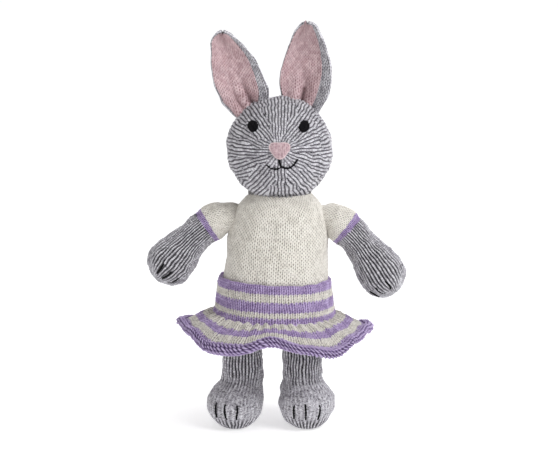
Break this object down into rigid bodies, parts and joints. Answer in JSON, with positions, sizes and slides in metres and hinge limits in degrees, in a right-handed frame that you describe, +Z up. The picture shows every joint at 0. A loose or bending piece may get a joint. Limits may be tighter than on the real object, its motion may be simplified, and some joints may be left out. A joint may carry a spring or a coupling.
{
  "type": "stuffed bunny rabbit",
  "caption": "Knitted stuffed rabbit toy with long lined ears, posable arms and legs and a gathered striped skirt, standing on flat soles.",
  "frame": {"origin": "on the floor under the middle of the toy's bounding box", "axes": "+Z up; the toy faces -Y; its own right side is at -X"},
  "size_m": [0.2201, 0.1488, 0.3485],
  "materials": {
    "grey_knit": "matte",
    "cream_knit": "matte",
    "lilac_knit": "matte",
    "pink_knit": "matte",
    "fibrefill": "matte",
    "black_thread": "matte",
    "pink_thread": "matte"
  },
  "bodies": {
    "torso": {"torso_cover": "cream_knit", "torso_stuffing": "fibrefill", "skirt_yoke": "cream_knit", "skirt_frill_back": "cream_knit", "skirt_hem_back": "lilac_knit"},
    "neck": {"neck_seam": "cream_knit"},
    "head": {"head_cover": "grey_knit", "head_stuffing": "fibrefill", "right_eye": "black_thread", "left_eye": "black_thread", "nose": "pink_thread", "mouth_stitch": "black_thread"},
    "right_ear": {"right_ear_back": "grey_knit", "right_ear_lining": "pink_knit"},
    "left_ear": {"left_ear_back": "grey_knit", "left_ear_lining": "pink_knit"},
    "right_shoulder": {"right_shoulder_wad": "fibrefill"},
    "right_arm": {"right_sleeve": "cream_knit", "right_cuff_band": "lilac_knit", "right_paw_cover": "grey_knit", "right_arm_stuffing": "fibrefill", "right_outer_finger_stitch": "black_thread", "right_middle_finger_stitch": "black_thread", "right_inner_finger_stitch": "black_thread"},
    "left_shoulder": {"left_shoulder_wad": "fibrefill"},
    "left_arm": {"left_sleeve": "cream_knit", "left_cuff_band": "lilac_knit", "left_paw_cover": "grey_knit", "left_arm_stuffing": "fibrefill", "left_outer_finger_stitch": "black_thread", "left_middle_finger_stitch": "black_thread", "left_inner_finger_stitch": "black_thread"},
    "right_leg": {"right_leg_cover": "grey_knit", "right_leg_stuffing": "fibrefill", "right_outer_toe_stitch": "black_thread", "right_middle_toe_stitch": "black_thread", "right_inner_toe_stitch": "black_thread"},
    "left_leg": {"left_leg_cover": "grey_knit", "left_leg_stuffing": "fibrefill", "left_outer_toe_stitch": "black_thread", "left_middle_toe_stitch": "black_thread", "left_inner_toe_stitch": "black_thread"},
    "skirt_front": {"skirt_frill_front": "cream_knit", "skirt_hem_front": "lilac_knit"}
  },
  "joints": [
    {"name": "head_turn", "type": "hinge", "parent": "torso", "child": "neck", "pos_m": [0.0039, 0, 0.222], "axis": [0, 0, 1], "range_deg": [-50, 50], "stiffness_Nm_per_rad": 0.2},
    {"name": "head_nod", "type": "hinge", "parent": "neck", "child": "head", "pos_m": [0.0039, 0, 0.222], "axis": [1, 0, 0], "range_deg": [-12, 12], "stiffness_Nm_per_rad": 0.6},
    {"name": "right_ear_flop", "type": "hinge", "parent": "head", "child": "right_ear", "pos_m": [-0.0285, 0, 0.291], "axis": [1, 0, 0], "range_deg": [-50, 60], "stiffness_Nm_per_rad": 0.03},
    {"name": "left_ear_flop", "type": "hinge", "parent": "head", "child": "left_ear", "pos_m": [0.025, 0, 0.291], "axis": [1, 0, 0], "range_deg": [-50, 60], "stiffness_Nm_per_rad": 0.03},
    {"name": "right_arm_swing", "type": "hinge", "parent": "torso", "child": "right_shoulder", "pos_m": [-0.0385, 0, 0.1835], "axis": [-1, 0, 0], "range_deg": [-40, 75], "stiffness_Nm_per_rad": 0.05},
    {"name": "right_arm_lift", "type": "hinge", "parent": "right_shoulder", "child": "right_arm", "pos_m": [-0.0385, 0, 0.1835], "axis": [0, 1, 0], "range_deg": [-5, 60], "stiffness_Nm_per_rad": 0.15, "springref_deg": 2.86},
    {"name": "left_arm_swing", "type": "hinge", "parent": "torso", "child": "left_shoulder", "pos_m": [0.043, 0, 0.182], "axis": [-1, 0, 0], "range_deg": [-40, 75], "stiffness_Nm_per_rad": 0.05},
    {"name": "left_arm_lift", "type": "hinge", "parent": "left_shoulder", "child": "left_arm", "pos_m": [0.043, 0, 0.182], "axis": [0, -1, 0], "range_deg": [-5, 60], "stiffness_Nm_per_rad": 0.15, "springref_deg": 2.86},
    {"name": "left_leg_swing", "type": "hinge", "parent": "torso", "child": "left_leg", "pos_m": [0.0237, 0, 0.08], "axis": [-1, 0, 0], "range_deg": [0, 75], "stiffness_Nm_per_rad": 0.8},
    {"name": "right_leg_swing", "type": "hinge", "parent": "torso", "child": "right_leg", "pos_m": [-0.0284, 0, 0.08], "axis": [-1, 0, 0], "range_deg": [0, 75], "stiffness_Nm_per_rad": 0.8},
    {"name": "skirt_front_lift", "type": "hinge", "parent": "torso", "child": "skirt_front", "pos_m": [0, -0.046, 0.1035], "axis": [-1, 0, 0], "range_deg": [0, 60], "stiffness_Nm_per_rad": 0.05}
  ],
  "couplings": [
    {"joint": "right_leg_swing", "follows": "left_leg_swing", "ratio": 1},
    {"joint": "skirt_front_lift", "follows": "left_leg_swing", "ratio": 0.8}
  ]
}
